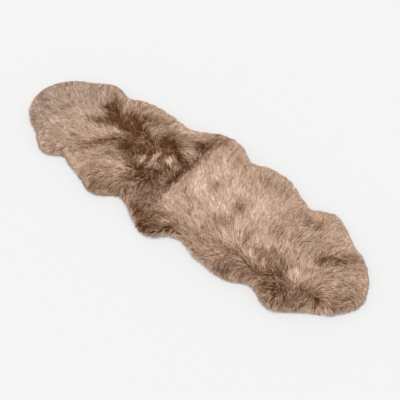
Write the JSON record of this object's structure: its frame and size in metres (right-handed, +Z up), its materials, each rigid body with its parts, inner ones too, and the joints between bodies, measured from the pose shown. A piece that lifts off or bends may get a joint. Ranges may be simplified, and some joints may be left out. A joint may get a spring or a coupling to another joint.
{
  "type": "double sheepskin rug",
  "caption": "Long-wool rug made of two sheepskin pelts sewn rump to rump, with a wavy outline and lumpy combed wool, lying flat on the floor.",
  "frame": {"origin": "on the floor, under the middle of the rug's bounding box", "axes": "+X along the rug from the left pelt's head to the right pelt's head, +Y across it towards the far side, +Z up"},
  "size_m": [1.8598, 0.6768, 0.0578],
  "materials": {
    "wool": "matt, long combed wool dyed a warm taupe, darker where it parts"
  },
  "bodies": {
    "root": {"pelt_left": "wool", "pelt_right": "wool"}
  },
  "joints": []
}
